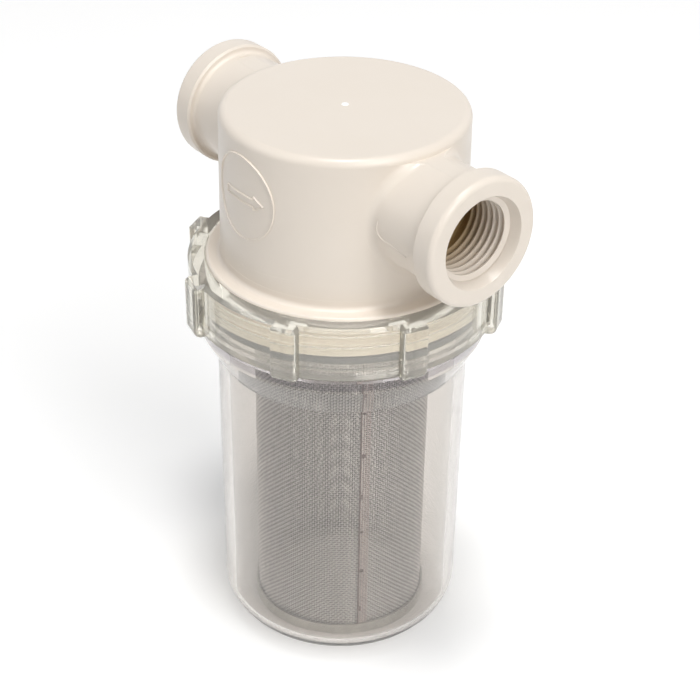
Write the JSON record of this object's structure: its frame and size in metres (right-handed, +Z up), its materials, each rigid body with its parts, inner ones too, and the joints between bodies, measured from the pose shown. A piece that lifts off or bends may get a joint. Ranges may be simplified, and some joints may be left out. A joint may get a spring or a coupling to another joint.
{
  "type": "sea water strainer",
  "caption": "Inline sea water strainer: moulded two-port head, clear bowl on a clear lugged union nut, and a woven-wire screen that lifts out for cleaning.",
  "frame": {"origin": "centre of the bowl's flat underside, on the surface it stands on", "axes": "+Z up along the bowl's axis; the ports lie along X, with the outlet at +X and the inlet at -X"},
  "size_m": [0.0986, 0.0802, 0.1471],
  "materials": {
    "ivory_moulding": "gloss moulded, ivory",
    "clear_nut": "clear, faint yellow-green",
    "clear_bowl": "clear, faint warm grey",
    "gasket_rubber": "matt black",
    "screen_wire": "woven stainless wire",
    "screen_ring": "pressed stainless sheet",
    "cap_moulding": "moulded, dark grey"
  },
  "bodies": {
    "head": {"head": "ivory_moulding"},
    "bowl_set": {"bowl": "clear_bowl", "bowl_gasket": "gasket_rubber", "screen_mesh": "screen_wire", "screen_bottom_ring": "screen_ring", "screen_top_cap": "cap_moulding"},
    "nut": {"union_nut": "clear_nut"}
  },
  "joints": [
    {"name": "bowl_drop", "type": "slide", "parent": "head", "child": "bowl_set", "axis": [0, 0, -1], "range_m": [0, 0.0072]},
    {"name": "nut_turn", "type": "hinge", "parent": "bowl_set", "child": "nut", "pos_m": [0, 0, 0.1], "axis": [0, 0, -1], "range_deg": [0, 864]}
  ],
  "couplings": [
    {"joint": "bowl_drop", "follows": "nut_turn", "m_per_rad": 0.00047746}
  ]
}
